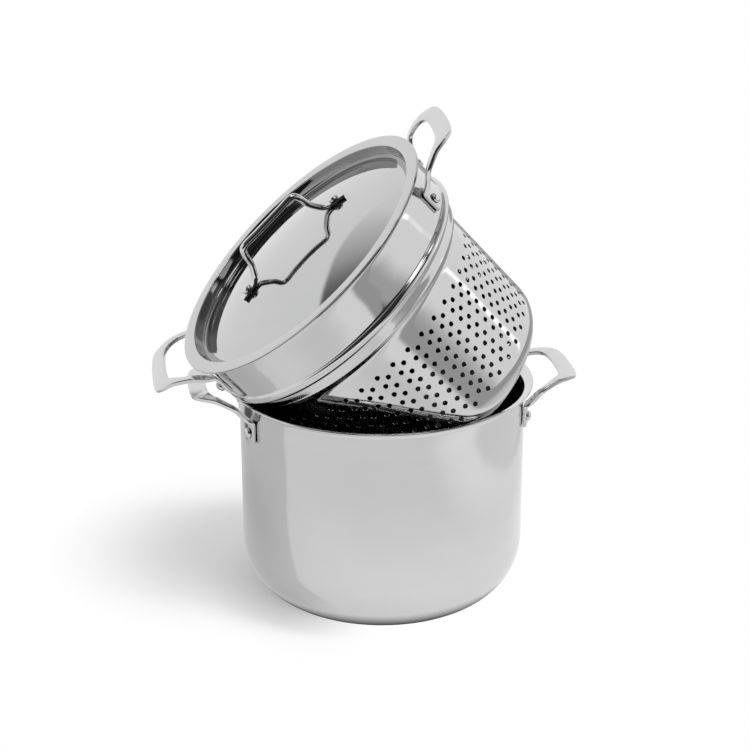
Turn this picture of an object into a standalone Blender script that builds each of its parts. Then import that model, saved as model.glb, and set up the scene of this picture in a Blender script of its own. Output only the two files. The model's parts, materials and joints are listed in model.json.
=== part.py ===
"""Steamer pot: a stock pot, a perforated insert leaning in it, and the lid on the insert.

Metres, +Z up. The origin is the centre of the pot's flat base, and the pot's
two loop handles lie along X. The insert and the lid share one leaning axis.
"""
import math

import bmesh
import bpy
import numpy as np
from mathutils import Matrix, Vector

# Clearances and sheet thicknesses
GAP = 0.0003            # between pieces that touch
REST_GAP = 0.0005       # nominal, where the leaning insert rests on the pot
POT_WALL = 0.0020
INSERT_WALL = 0.0010
LID_WALL = 0.0010

# Pot
POT_RADIUS = 0.1212         # outer wall
POT_HEIGHT = 0.1905
POT_CORNER_HEIGHT = 0.0500  # the wall's round corner, upright
POT_CORNER_WIDTH = 0.0420   # and across
POT_LIP_REACH = 0.0062      # the pouring lip stands this far out of the wall
POT_LIP_HEIGHT = 0.0075

# Insert, measured down its own axis from its lip
COLLAR_INSET = 0.0009       # collar wall inside the pot's outer wall
COLLAR_RADIUS = POT_RADIUS - COLLAR_INSET
INSERT_LIP_REACH = 0.0070
INSERT_LIP_HEIGHT = 0.0060
COLLAR_HEIGHT = 0.0385      # lip to the top of the bead
BEAD_REACH = 0.0030         # the bead that sits on the pot's lip
BEAD_HEIGHT = 0.0090
BAND_CLEARANCE = 0.0010     # between the band and the pot's bore
BAND_HEIGHT = 0.0100
BAND_TAPER = 0.0016
SHOULDER_HEIGHT = 0.0065
BASKET_CLEARANCE = 0.0084   # between the basket and the pot's bore
BASKET_RADIUS = POT_RADIUS - POT_WALL - BASKET_CLEARANCE
BASKET_TAPER = 0.0006
BASKET_HEIGHT = 0.1225      # shoulder to the flat base
BASKET_CORNER = 0.0250

# Perforation of the basket
HOLE_RADIUS = 0.0021
HOLE_PAIRS = 14             # pairs of hole columns, each pair in one facet
HOLE_PAIR_ANGLE = math.radians(3.6)
HOLES_PER_COLUMN = 8
HOLE_PITCH = 0.01024
HOLE_STAGGER = 0.0054
HOLE_TOP_MARGIN = 0.0165    # shoulder to the first row
BASE_HOLE_RINGS = 2
BASE_HOLE_PITCH = 0.0270

# Lid
LID_EDGE_REACH = 0.0006     # flange edge beyond the insert's lip
LID_FLANGE_WIDTH = 0.0116
LID_PLUG_DEPTH = 0.0085
LID_PLUG_TAPER = 0.0010
LID_FILLET_WIDTH = 0.0072
LID_FILLET_DEPTH = 0.0020
LID_DOME_RISE = 0.0195      # panel edge to the top of the dome

# Lid handle, a bent rod
ROD_RADIUS = 0.00275
ROD_FOOT_WIDTH = 0.0085
ROD_FOOT_THICKNESS = 0.0030
ROD_GRIP_HALF = 0.0315
ROD_GRIP_HEIGHT = 0.0315    # grip above the dome at the feet
ROD_BEND_REACH = 0.0400
ROD_FOOT_END = 0.0590
LID_RIVET_REACH = 0.0510

# Loop handles, cast, four alike
HANDLE_REACH = 0.0434       # wall to the grip's outer edge
HANDLE_RISE = 0.0030        # middle of the grip above the lip
HANDLE_HALF_WIDTH = 0.0460  # handle's middle to the legs' outer edges by the wall
HANDLE_GRIP_WIDTH = 0.0147
HANDLE_LEG_WIDTH = 0.0072
HANDLE_FOOT_ANGLE = math.radians(19.0)
HANDLE_FOOT_WIDTH = 0.0145
HANDLE_FOOT_TOP = 0.0185    # below the lip
HANDLE_FOOT_BOTTOM = 0.0345
HANDLE_FOOT_THICKNESS = 0.0030
HANDLE_LEG_THICKNESS = 0.0036
HANDLE_GRIP_THICKNESS = 0.0026
HANDLE_RIVET_DROP = 0.0270

# Rivets
RIVET_SHANK = 0.0022
RIVET_HEAD = 0.0045
RIVET_HEAD_HEIGHT = 0.0030
RIVET_TAIL = 0.0040
RIVET_TAIL_HEIGHT = 0.0013

# How the insert leans in the pot
LEAN_ANGLE = math.radians(42.4)
LEAN_DIRECTION = math.radians(188.0)
INSERT_SPIN = math.radians(-0.9)
POT_SPIN = math.radians(1.8)     # pot's handles about its own axis, from X
LID_SPIN = math.radians(13.2)   # lid handle from the insert's handles

# Facets round the turned pieces, and round the rivets
SEGMENTS = 56
RIVET_SIDES = 8

COLLECTION = "steamer_pot"
CUTTERS = "cutters"


def clear_scene():
    for item in list(bpy.data.objects):
        bpy.data.objects.remove(item, do_unlink=True)


def new_collection(name):
    collection = bpy.data.collections.new(name)
    bpy.context.scene.collection.children.link(collection)
    return collection


def metal(name, colour, roughness):
    material = bpy.data.materials.new(name)
    material.use_nodes = True
    shader = material.node_tree.nodes["Principled BSDF"]
    shader.inputs["Base Color"].default_value = (*colour, 1.0)
    shader.inputs["Metallic"].default_value = 1.0
    shader.inputs["Roughness"].default_value = roughness
    return material


def add_object(name, mesh, collection, material=None, parent=None):
    item = bpy.data.objects.new(name, mesh)
    collection.objects.link(item)
    if material:
        mesh.materials.append(material)
    if parent:
        item.parent = parent
    return item


def arc(centre, radii, start, end, steps):
    """Points of an elliptical arc; angles in degrees from +radius towards +height."""
    points = []
    for i in range(steps + 1):
        angle = math.radians(start + (end - start) * i / steps)
        points.append((centre[0] + radii[0] * math.cos(angle),
                       centre[1] + radii[1] * math.sin(angle)))
    return points


def turned_mesh(name, profile, segments=SEGMENTS):
    """Spins a closed profile of (radius, height) points once round Z.

    The profile runs down the outer side. Points on the axis become poles.
    """
    mesh = bpy.data.meshes.new(name)
    build = bmesh.new()
    start = [build.verts.new((r, 0.0, z)) for r, z in profile]
    edges = [build.edges.new((start[i], start[(i + 1) % len(start)]))
             for i in range(len(start))
             if not (profile[i][0] == 0 and profile[(i + 1) % len(start)][0] == 0)]
    bmesh.ops.spin(build, geom=start + edges, cent=(0, 0, 0), axis=(0, 0, 1),
                   angle=2 * math.pi, steps=segments, use_merge=True)
    bmesh.ops.remove_doubles(build, verts=build.verts, dist=1e-6)
    bmesh.ops.recalc_face_normals(build, faces=build.faces)
    build.to_mesh(mesh)
    build.free()
    return mesh


def smooth(item, angle=35.0):
    mesh = item.data
    mesh.shade_smooth()
    mesh.set_sharp_from_angle(angle=math.radians(angle))


def lip_points(wall, reach, height, thickness, top, steps):
    """A flared lip: outer side first, then over the top and down the bore."""
    centre = (wall + reach, top - height)
    outer = arc(centre, (reach, height - thickness), 180, 90, steps)
    inner = arc(centre, (reach + thickness, height), 90, 180, steps)
    return outer[::-1], inner


def pot_profile():
    height = POT_HEIGHT
    wall = POT_RADIUS
    bore = POT_RADIUS - POT_WALL
    under, over = lip_points(wall, POT_LIP_REACH, POT_LIP_HEIGHT, POT_WALL, height, 3)
    flat = wall - POT_CORNER_WIDTH
    corner = arc((flat, POT_CORNER_HEIGHT), (POT_CORNER_WIDTH, POT_CORNER_HEIGHT),
                 0, -90, 7)
    inner_corner = arc((flat, POT_CORNER_HEIGHT),
                       (POT_CORNER_WIDTH - POT_WALL, POT_CORNER_HEIGHT - POT_WALL),
                       -90, 0, 6)
    edge = (wall + POT_LIP_REACH + POT_WALL * 0.35, height - POT_WALL * 0.5)
    profile = [edge] + under + corner + [(0.0, 0.0), (0.0, POT_WALL)] + inner_corner
    profile += over[::-1]
    return profile, [(bore, z) for z in (0.6 * height, 0.75 * height, 0.88 * height)] + over[::-1]


def insert_outline():
    """The insert's outer side from lip to base, heights below the lip's top."""
    under, over = lip_points(COLLAR_RADIUS, INSERT_LIP_REACH, INSERT_LIP_HEIGHT,
                             INSERT_WALL, 0.0, 2)
    bead_top = -COLLAR_HEIGHT
    bead_low = bead_top - BEAD_HEIGHT
    band = POT_RADIUS - POT_WALL - BAND_CLEARANCE
    outer = list(under)
    outer.append((COLLAR_RADIUS, bead_top))
    crest = COLLAR_RADIUS + BEAD_REACH
    outer.append((crest - 0.25 * BEAD_REACH, bead_top - 0.18 * BEAD_HEIGHT))
    outer.append((crest, bead_top - 0.50 * BEAD_HEIGHT))
    outer.append((crest - 0.40 * BEAD_REACH, bead_top - 0.88 * BEAD_HEIGHT))
    outer.append((band, bead_low - 0.0015))
    band_low = bead_low - BAND_HEIGHT
    outer.append((band - BAND_TAPER, band_low))
    shoulder = band_low - SHOULDER_HEIGHT
    outer.append((0.4 * (band - BAND_TAPER) + 0.6 * BASKET_RADIUS,
                  band_low - 0.35 * SHOULDER_HEIGHT))
    outer.append((BASKET_RADIUS, shoulder))
    base = shoulder - BASKET_HEIGHT
    low = BASKET_RADIUS - BASKET_TAPER
    outer += arc((low - BASKET_CORNER, base + BASKET_CORNER),
                 (BASKET_CORNER, BASKET_CORNER), 0, -90, 4)
    return outer, over, shoulder, base


def inset_outline(points, distance):
    """Moves an open outline towards the axis side by a wall thickness."""
    moved = []
    count = len(points)
    for i in range(count):
        a = Vector(points[max(i - 1, 0)])
        b = Vector(points[min(i + 1, count - 1)])
        along = (b - a).normalized()
        normal = Vector((along.y, -along.x))
        moved.append((points[i][0] + normal.x * distance,
                      points[i][1] + normal.y * distance))
    return moved


def outline_gap(outline, radius, height):
    """Signed distance of points to a solid of revolution, negative inside."""
    pts = np.array(outline)
    pts = np.vstack([[0.0, pts[0][1]], pts, [0.0, pts[-1][1]]])
    a = pts[:-1][None]
    along = (pts[1:] - pts[:-1])[None]
    p = np.stack([radius, height], -1)[:, None]
    share = ((p - a) * along).sum(-1) / np.maximum((along ** 2).sum(-1), 1e-18)
    near = a + np.clip(share, 0, 1)[..., None] * along
    distance = np.linalg.norm(p - near, axis=-1).min(1)
    ring = np.vstack([pts, pts[:1]])
    inside = np.zeros(len(radius), bool)
    for (r0, z0), (r1, z1) in zip(ring[:-1], ring[1:]):
        if z0 == z1:
            continue
        crosses = (z0 > height) != (z1 > height)
        inside ^= crosses & (radius < r0 + (height - z0) * (r1 - r0) / (z1 - z0))
    return np.where(inside, -distance, distance)


def lean_matrix():
    turn = Matrix.Rotation(LEAN_DIRECTION, 3, "Z")
    return turn @ Matrix.Rotation(LEAN_ANGLE, 3, "Y") @ turn.transposed()


def seat_insert(outline, pot_rings):
    """Lowest place of the leaning insert whose gap to the pot is the rest gap.

    The insert's axis stays in the upright plane through the pot's axis. Its
    place along the lean is where it settles lowest, on the lip at both sides.
    """
    rotation = np.array(lean_matrix())
    lean = np.array([math.cos(LEAN_DIRECTION), math.sin(LEAN_DIRECTION), 0.0])
    angles = np.radians(np.arange(0.0, 360.0, 2.0))
    rings = np.concatenate([
        np.stack([r * np.cos(angles), r * np.sin(angles), np.full_like(angles, z)], -1)
        for r, z in pot_rings])

    def height_at(shift):
        low = 0.2 * POT_HEIGHT
        high = 3.0 * POT_HEIGHT
        for _ in range(34):
            middle = 0.5 * (low + high)
            local = (rings - lean * shift - (0.0, 0.0, middle)) @ rotation
            radius = np.hypot(local[:, 0], local[:, 1])
            if outline_gap(outline, radius, local[:, 2]).min() < REST_GAP:
                low = middle
            else:
                high = middle
        return high

    low = 0.0
    high = 1.2 * POT_RADIUS
    golden = 0.618034
    for _ in range(30):
        first = high - golden * (high - low)
        second = low + golden * (high - low)
        if height_at(first) < height_at(second):
            high = second
        else:
            low = first
    shift = 0.5 * (low + high)
    return Vector(lean * shift + np.array([0.0, 0.0, height_at(shift)]))


def catmull(points, steps):
    """A smooth open curve through 3-D points, with its end points kept."""
    full = [points[0] * 2 - points[1]] + points + [points[-1] * 2 - points[-2]]
    out = []
    for i in range(1, len(full) - 2):
        p0, p1, p2, p3 = full[i - 1:i + 3]
        for k in range(steps):
            t = k / steps
            out.append(0.5 * ((2 * p1) + (p2 - p0) * t
                              + (2 * p0 - 5 * p1 + 4 * p2 - p3) * t * t
                              + (3 * p1 - p0 - 3 * p2 + p3) * t ** 3))
    out.append(points[-1].copy())
    return out


def lofted_mesh(name, rings):
    """Skins closed rings of equally many points and caps both ends."""
    mesh = bpy.data.meshes.new(name)
    build = bmesh.new()
    rows = [[build.verts.new(p) for p in ring] for ring in rings]
    sides = len(rows[0])
    for low, high in zip(rows[:-1], rows[1:]):
        for i in range(sides):
            j = (i + 1) % sides
            build.faces.new((low[i], low[j], high[j], high[i]))
    build.faces.new(rows[0][::-1])
    build.faces.new(rows[-1])
    bmesh.ops.recalc_face_normals(build, faces=build.faces)
    build.to_mesh(mesh)
    build.free()
    return mesh


def strap_ring(outer, inner, along, thickness):
    """Six-sided section of a cast strap between two edge points, edges softened."""
    point = (outer + inner) * 0.5
    across = outer - inner
    half = 0.5 * across.length
    across.normalize()
    up = along.cross(across).normalized()
    soft = max(half - 0.35 * thickness, 0.3 * half)
    lift = 0.5 * thickness
    shape = ((-half, 0.0), (-soft, lift), (soft, lift),
             (half, 0.0), (soft, -lift), (-soft, -lift))
    return [point + across * a + up * b for a, b in shape]


def foot_reach(wall):
    """From the axis to a foot's middle; its corners clear the round wall."""
    return (wall + GAP + 0.5 * HANDLE_FOOT_THICKNESS
            + HANDLE_FOOT_WIDTH ** 2 / (8 * wall))


def handle_edges(wall):
    """Outer and inner edge points down half a loop handle, with thicknesses.

    From the foot's bottom end up to the foot's top, out along the leg, round
    the corner and to the middle of the grip.
    """
    side = Vector((math.cos(HANDLE_FOOT_ANGLE), math.sin(HANDLE_FOOT_ANGLE), 0))
    tangent = Vector((-side.y, side.x, 0)) * 0.5 * HANDLE_FOOT_WIDTH
    foot = side * foot_reach(wall)
    low = Vector((0, 0, -HANDLE_FOOT_BOTTOM))
    top = Vector((0, 0, -HANDLE_FOOT_TOP))
    reach = HANDLE_REACH
    width = HANDLE_HALF_WIDTH
    inner_reach = reach - HANDLE_GRIP_WIDTH
    inner_width = width - HANDLE_LEG_WIDTH

    def at(x, y, z):
        return Vector((wall + x, y, z))

    rise = HANDLE_RISE
    drop = HANDLE_FOOT_TOP
    thin = HANDLE_FOOT_THICKNESS
    leg = HANDLE_LEG_THICKNESS
    grip = HANDLE_GRIP_THICKNESS
    neck = foot + Vector((0.0022, 0, 0))
    return [
        (foot + tangent + low, foot - tangent + low, thin),
        (foot + tangent + top, foot - tangent + top, thin),
        (neck + tangent + top * 0.87, neck - tangent * 0.70 + top * 0.83, thin),
        (at(0.02 * reach, 1.007 * width, -0.67 * drop),
         at(0.105 * inner_reach, 0.96 * inner_width, -0.54 * drop), 0.5 * (thin + leg)),
        (at(0.17 * reach, 1.013 * width, -0.28 * drop),
         at(0.27 * inner_reach, 1.01 * inner_width, -0.265 * drop), leg),
        (at(0.364 * reach, 0.963 * width, -0.038 * drop),
         at(0.505 * inner_reach, 0.959 * inner_width, -0.068 * drop), leg),
        (at(0.553 * reach, 0.893 * width, 0.70 * rise),
         at(0.725 * inner_reach, 0.84 * inner_width, 0.47 * rise), leg),
        (at(0.733 * reach, 0.83 * width, 0.97 * rise),
         at(0.871 * inner_reach, 0.722 * inner_width, 0.77 * rise), 0.3 * grip + 0.7 * leg),
        (at(0.86 * reach, 0.755 * width, 1.03 * rise),
         at(0.951 * inner_reach, 0.575 * inner_width, 0.90 * rise), 0.6 * grip + 0.4 * leg),
        (at(0.943 * reach, 0.64 * width, 0.80 * rise),
         at(0.983 * inner_reach, 0.412 * inner_width, 0.93 * rise), grip),
        (at(0.99 * reach, 0.36 * width, 0.63 * rise),
         at(0.997 * inner_reach, 0.206 * inner_width, rise), grip),
        (at(reach, 0, 0.57 * rise), at(inner_reach, 0, rise), grip),
    ]


def loop_handle(name, wall, collection, material, parent=None):
    """A cast loop handle at +X of a turned wall whose lip's top is at height 0."""
    edges = handle_edges(wall)
    outer = catmull([o for o, i, t in edges], 2)
    inner = catmull([i for o, i, t in edges], 2)
    rings = []
    last = len(outer) - 1
    for k in range(last + 1):
        before = outer[max(k - 1, 0)] + inner[max(k - 1, 0)]
        after = outer[min(k + 1, last)] + inner[min(k + 1, last)]
        along = after - before
        if k == last:
            along = Vector((0, -1, 0))
        share = k / 2 - int(k / 2)
        low = edges[int(k / 2)][2]
        high = edges[min(int(k / 2) + 1, len(edges) - 1)][2]
        rings.append(strap_ring(outer[k], inner[k], along, low + (high - low) * share))
    far = [[Vector((p.x, -p.y, p.z)) for p in ring] for ring in rings[-2::-1]]
    return add_object(name, lofted_mesh(name, rings + far), collection, material, parent)


def rivet_profile(grip):
    """Head, shank and formed tail about a grip length of sheet."""
    head = arc((0.0, GAP), (RIVET_HEAD, RIVET_HEAD_HEIGHT), 90, 0, 3)
    head[0] = (0.0, GAP + RIVET_HEAD_HEIGHT)
    low = -grip - GAP
    tail = arc((0.0, low), (RIVET_TAIL, RIVET_TAIL_HEIGHT), 0, -90, 2)
    tail[-1] = (0.0, low - RIVET_TAIL_HEIGHT)
    return head + [(RIVET_SHANK, GAP), (RIVET_SHANK, low)] + tail


def rivet(name, place, normal, grip, collection, material, parent=None):
    """A rivet whose head sits on the outer face at place, along normal."""
    item = add_object(name, turned_mesh(name, rivet_profile(grip), RIVET_SIDES), collection,
                      material, parent)
    turn = normal.to_track_quat("Z", "Y").to_matrix().to_4x4()
    item.matrix_local = Matrix.Translation(place) @ turn
    smooth(item)
    return item


def cylinder_cutter(build, place, normal, radius, length, sides):
    turn = normal.to_track_quat("Z", "Y").to_matrix().to_4x4()
    bmesh.ops.create_cone(build, cap_ends=True, segments=sides, radius1=radius,
                          radius2=radius, depth=length,
                          matrix=Matrix.Translation(place) @ turn)


def cut(item, name, holes, cutters, parent=None):
    """Cuts straight holes, given as (place, normal, radius, length, sides)."""
    mesh = bpy.data.meshes.new(name)
    build = bmesh.new()
    for place, normal, radius, length, sides in holes:
        cylinder_cutter(build, place, normal, radius, length, sides)
    build.to_mesh(mesh)
    build.free()
    tool = add_object(name, mesh, cutters, parent=parent)
    tool.hide_render = True
    tool.display_type = "WIRE"
    modifier = item.modifiers.new(name, "BOOLEAN")
    modifier.operation = "DIFFERENCE"
    modifier.solver = "EXACT"
    modifier.object = tool


def handle_rivet_spots(wall, lip, spin):
    """Rivet places on the handles' feet: name, place on the foot, outward normal."""
    face = foot_reach(wall) + 0.5 * HANDLE_FOOT_THICKNESS
    spots = []
    for side, centre in (("right", 0.0), ("left", math.pi)):
        for end, sign in (("front", -1), ("back", 1)):
            angle = centre + sign * (1 if side == "right" else -1) * HANDLE_FOOT_ANGLE + spin
            normal = Vector((math.cos(angle), math.sin(angle), 0))
            place = normal * face + Vector((0, 0, lip - HANDLE_RIVET_DROP))
            spots.append((f"{side}_{end}", place, normal))
    return spots


def handle_set(prefix, wall, sheet, lip, spin, collection, cutters, material, pin, parent=None):
    """Two loop handles and four rivets on a turned wall, and its rivet holes."""
    spots = handle_rivet_spots(wall, lip, spin)
    grip = spots[0][1].xy.length - (wall - sheet)
    for side, turn in (("right", 0.0), ("left", math.pi)):
        item = loop_handle(f"{prefix}_handle_{side}", wall, collection, material, parent)
        item.matrix_local = (Matrix.Translation((0, 0, lip))
                             @ Matrix.Rotation(turn + spin, 4, "Z"))
        holes = [(place, normal, RIVET_SHANK + GAP, 5 * HANDLE_FOOT_THICKNESS, RIVET_SIDES)
                 for name, place, normal in spots if name.startswith(side)]
        cut(item, f"{prefix}_{side}_rivet_bores", holes, cutters, parent)
        smooth(item)
    for name, place, normal in spots:
        rivet(f"{prefix}_rivet_{name}", place, normal, grip, collection, pin, parent)
    return [(place, normal, RIVET_SHANK + GAP, 9 * HANDLE_FOOT_THICKNESS, RIVET_SIDES)
            for name, place, normal in spots]


def make_pot(collection, cutters, steel, bright):
    profile, rings = pot_profile()
    item = add_object("pot_body", turned_mesh("pot_body", profile), collection, steel)
    holes = handle_set("pot", POT_RADIUS, POT_WALL, POT_HEIGHT, POT_SPIN, collection, cutters,
                       bright, bright)
    cut(item, "pot_rivet_bores", holes, cutters)
    smooth(item)
    return rings


def basket_holes(shoulder, base):
    """Paired columns of holes round the basket, and rings in its base."""
    holes = []
    pitch = 2 * math.pi / HOLE_PAIRS
    first = math.pi / SEGMENTS - 0.5 * HOLE_PAIR_ANGLE
    for pair in range(HOLE_PAIRS):
        for column in range(2):
            angle = first + pitch * pair + column * HOLE_PAIR_ANGLE
            normal = Vector((math.cos(angle), math.sin(angle), 0))
            for row in range(HOLES_PER_COLUMN):
                height = (shoulder - HOLE_TOP_MARGIN - row * HOLE_PITCH
                          - column * HOLE_STAGGER)
                place = normal * BASKET_RADIUS + Vector((0, 0, height))
                holes.append((place, normal, HOLE_RADIUS, 12 * INSERT_WALL, 6))
    holes.append((Vector((0, 0, base)), Vector((0, 0, 1)), HOLE_RADIUS, 12 * INSERT_WALL, 6))
    for ring in range(1, BASE_HOLE_RINGS + 1):
        for k in range(6 * ring):
            angle = 2 * math.pi * (k + 0.5) / (6 * ring)
            place = Vector((math.cos(angle), math.sin(angle), 0)) * ring * BASE_HOLE_PITCH
            place.z = base
            holes.append((place, Vector((0, 0, 1)), HOLE_RADIUS, 12 * INSERT_WALL, 6))
    return holes


def make_insert(collection, cutters, frame, steel, bright):
    outer, over, shoulder, base = insert_outline()
    body = outer[len(over):]
    wall = outer[len(over) - 1:]
    inner = inset_outline(wall, INSERT_WALL)[1:]
    edge = (COLLAR_RADIUS + INSERT_LIP_REACH + 0.35 * INSERT_WALL, -0.5 * INSERT_WALL)
    profile = [edge] + outer[:len(over)] + body + [(0.0, base)]
    profile += [(0.0, base + INSERT_WALL)] + inner[::-1] + over[::-1]
    item = add_object("insert_body", turned_mesh("insert_body", profile), collection,
                      steel, frame)
    holes = handle_set("insert", COLLAR_RADIUS, INSERT_WALL, 0.0, 0.0, collection, cutters,
                       bright, bright, frame)
    cut(item, "insert_rivet_bores", holes, cutters, frame)
    cut(item, "insert_perforation", basket_holes(shoulder, base), cutters, frame)
    smooth(item)


def lid_sizes():
    """Heights from the lid's flange top, radii, and the dome's radius."""
    edge = COLLAR_RADIUS + INSERT_LIP_REACH + LID_EDGE_REACH
    mouth = edge - LID_FLANGE_WIDTH
    rim = mouth - LID_PLUG_TAPER - LID_FILLET_WIDTH
    low = -LID_PLUG_DEPTH - LID_FILLET_DEPTH
    dome = (rim ** 2 + LID_DOME_RISE ** 2) / (2 * LID_DOME_RISE)
    return edge, mouth, rim, low, dome


def dome_height(radius):
    """Height of the dome's top face at a radius."""
    edge, mouth, rim, low, dome = lid_sizes()
    return low + LID_DOME_RISE - dome + math.sqrt(dome ** 2 - radius ** 2)


def make_lid(collection, cutters, frame, steel, bright):
    edge, mouth, rim, low, dome = lid_sizes()
    floor = mouth - LID_PLUG_TAPER
    top = [(edge, -0.3 * LID_WALL), (edge - 0.3 * LID_WALL, 0.0), (mouth + 0.0010, 0.0),
           (mouth, -0.0010), (floor, -LID_PLUG_DEPTH)]
    top += [(floor - LID_FILLET_WIDTH * 0.35, low - 0.0004), (rim, low)]
    for i in range(1, 6):
        radius = rim * (1 - i / 5)
        top.append((radius, dome_height(radius)))
    under = inset_outline(top[2:-1], -LID_WALL)[1:]
    bottom = top[-1][1] - LID_WALL
    profile = [(edge, -LID_WALL), (mouth + LID_WALL, -LID_WALL)]
    profile += under + [(0.0, bottom)] + top[::-1]
    item = add_object("lid_panel", turned_mesh("lid_panel", profile), collection, steel, frame)

    slope = Vector((LID_RIVET_REACH, 0, math.sqrt(dome ** 2 - LID_RIVET_REACH ** 2)))
    normal = slope.normalized()
    half = ROD_FOOT_THICKNESS * 0.5 + GAP

    def on_dome(reach, lift):
        return Vector((reach, 0, dome_height(reach) + lift / normal.z))

    grip_height = dome_height(LID_RIVET_REACH) + ROD_GRIP_HEIGHT
    bend_height = dome_height(ROD_BEND_REACH) + ROD_RADIUS + GAP
    stations = [
        (on_dome(ROD_FOOT_END, half), 1.0),
        (on_dome(LID_RIVET_REACH, half), 1.0),
        (on_dome(ROD_BEND_REACH + 0.0052, half + 0.0001), 1.0),
        (on_dome(ROD_BEND_REACH + 0.0015, half + 0.0010), 0.4),
        (Vector((ROD_BEND_REACH - 0.0015, 0, bend_height + 0.0030)), 0.0),
        (Vector((ROD_GRIP_HALF + 0.0022, 0, 0.55 * bend_height + 0.45 * grip_height)), 0.0),
        (Vector((ROD_GRIP_HALF, 0, grip_height - 0.0045)), 0.0),
        (Vector((ROD_GRIP_HALF - 0.0045, 0, grip_height)), 0.0),
    ]
    points = [p for p, flat in stations]
    flats = [flat for p, flat in stations]
    points = points + [Vector((-p.x, p.y, p.z)) for p in points[::-1]]
    flats = flats + flats[::-1]
    path = catmull(points, 2)
    rings = []
    for i, point in enumerate(path):
        along = (path[min(i + 1, len(path) - 1)] - path[max(i - 1, 0)]).normalized()
        across = Vector((0, 1, 0))
        up = along.cross(across).normalized()
        spot = i / 2
        lower = int(min(spot, len(flats) - 2))
        flat = flats[lower] + (flats[lower + 1] - flats[lower]) * (spot - lower)
        wide = ROD_RADIUS + flat * (0.5 * ROD_FOOT_WIDTH - ROD_RADIUS)
        tall = ROD_RADIUS + flat * (0.5 * ROD_FOOT_THICKNESS - ROD_RADIUS)
        rings.append([point + across * wide * math.cos(math.pi * k / 4)
                      + up * tall * math.sin(math.pi * k / 4) for k in range(8)])
    rod = add_object("lid_handle", lofted_mesh("lid_handle", rings), collection, bright,
                     frame)
    spin = Matrix.Rotation(LID_SPIN, 4, "Z")
    rod.matrix_local = spin
    holes = []
    for name, sign in (("a", 1), ("b", -1)):
        face = on_dome(LID_RIVET_REACH, 2 * half)
        place = spin @ Vector((sign * face.x, 0, face.z))
        way = (spin.to_3x3() @ Vector((sign * normal.x, 0, normal.z))).normalized()
        rivet(f"lid_rivet_{name}", place, way, 2 * half + LID_WALL, collection,
              bright, frame)
        holes.append((place, way, RIVET_SHANK + GAP, 6 * ROD_FOOT_THICKNESS, RIVET_SIDES))
    cut(rod, "lid_handle_bores", holes, cutters, frame)
    cut(item, "lid_bores", holes, cutters, frame)
    smooth(rod)
    smooth(item)


def main():
    clear_scene()
    collection = new_collection(COLLECTION)
    cutters = new_collection(CUTTERS)
    steel = metal("brushed_steel", (0.62, 0.62, 0.63), 0.22)
    basket = metal("satin_steel", (0.66, 0.66, 0.66), 0.28)
    bright = metal("polished_steel", (0.72, 0.72, 0.73), 0.12)

    pot_rings = make_pot(collection, cutters, steel, bright)
    outline = insert_outline()[0]
    seat = seat_insert(outline, pot_rings)
    lean = lean_matrix().to_4x4()

    insert_frame = bpy.data.objects.new("insert_frame", None)
    collection.objects.link(insert_frame)
    insert_frame.matrix_world = (Matrix.Translation(seat) @ lean
                                 @ Matrix.Rotation(INSERT_SPIN, 4, "Z"))
    make_insert(collection, cutters, insert_frame, basket, bright)

    lid_frame = bpy.data.objects.new("lid_frame", None)
    collection.objects.link(lid_frame)
    lid_frame.matrix_world = (insert_frame.matrix_world
                              @ Matrix.Translation((0, 0, LID_WALL + GAP)))
    make_lid(collection, cutters, lid_frame, steel, bright)
    axis = lean.to_3x3() @ Vector((0, 0, 1))
    print("insert lip centre", [round(v, 5) for v in seat])
    print("lean axis", [round(v, 6) for v in axis])


main()
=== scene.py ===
import json
import math

import bmesh
import bpy
from mathutils import Matrix, Vector

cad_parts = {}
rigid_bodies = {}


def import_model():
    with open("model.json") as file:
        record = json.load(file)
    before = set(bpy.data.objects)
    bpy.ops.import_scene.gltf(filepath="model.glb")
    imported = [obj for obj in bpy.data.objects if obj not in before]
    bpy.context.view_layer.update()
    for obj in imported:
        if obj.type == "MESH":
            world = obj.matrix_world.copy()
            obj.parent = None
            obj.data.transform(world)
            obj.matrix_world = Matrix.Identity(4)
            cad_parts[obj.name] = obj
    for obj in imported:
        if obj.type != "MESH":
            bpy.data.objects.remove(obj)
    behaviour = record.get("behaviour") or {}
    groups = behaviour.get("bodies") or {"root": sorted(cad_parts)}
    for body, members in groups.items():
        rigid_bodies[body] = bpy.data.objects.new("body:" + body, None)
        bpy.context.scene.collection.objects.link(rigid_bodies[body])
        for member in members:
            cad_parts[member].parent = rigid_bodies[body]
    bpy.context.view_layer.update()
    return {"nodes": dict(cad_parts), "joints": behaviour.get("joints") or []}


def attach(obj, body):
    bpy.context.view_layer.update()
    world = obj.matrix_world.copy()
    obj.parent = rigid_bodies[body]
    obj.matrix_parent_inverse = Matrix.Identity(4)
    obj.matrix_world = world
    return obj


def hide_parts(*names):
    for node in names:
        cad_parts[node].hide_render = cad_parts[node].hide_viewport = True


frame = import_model()


# Pot body. Deep-drawn stainless steel stock pot with a flared pouring lip and
# a round lower corner, satin polished on a lathe outside and in.

POT_RADIUS = 0.1212
POT_WALL = 0.0020
POT_HEIGHT = 0.1905
POT_CORNER = (0.0420, 0.0500)
POT_LIP = (0.0062, 0.0075)
POT_LEVELS = (0.9, 0.7, 0.5, 0.35)
POT_SIDES = 256
# How much painted shade darkens the pot's colour inside, where shade falls.
POT_INSIDE_PAINTED_SHADE = 0.60


def arc(centre, radii, start, end, steps):
    """(radius, height) points of an elliptical arc, angles in degrees."""
    turns = [math.radians(start + (end - start) * i / steps) for i in range(steps + 1)]
    return [(centre[0] + radii[0] * math.cos(a), centre[1] + radii[1] * math.sin(a))
            for a in turns]


def even_angles(count):
    """Angles of a full turn, from zero."""
    return [2 * math.pi * i / count for i in range(count)]


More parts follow.
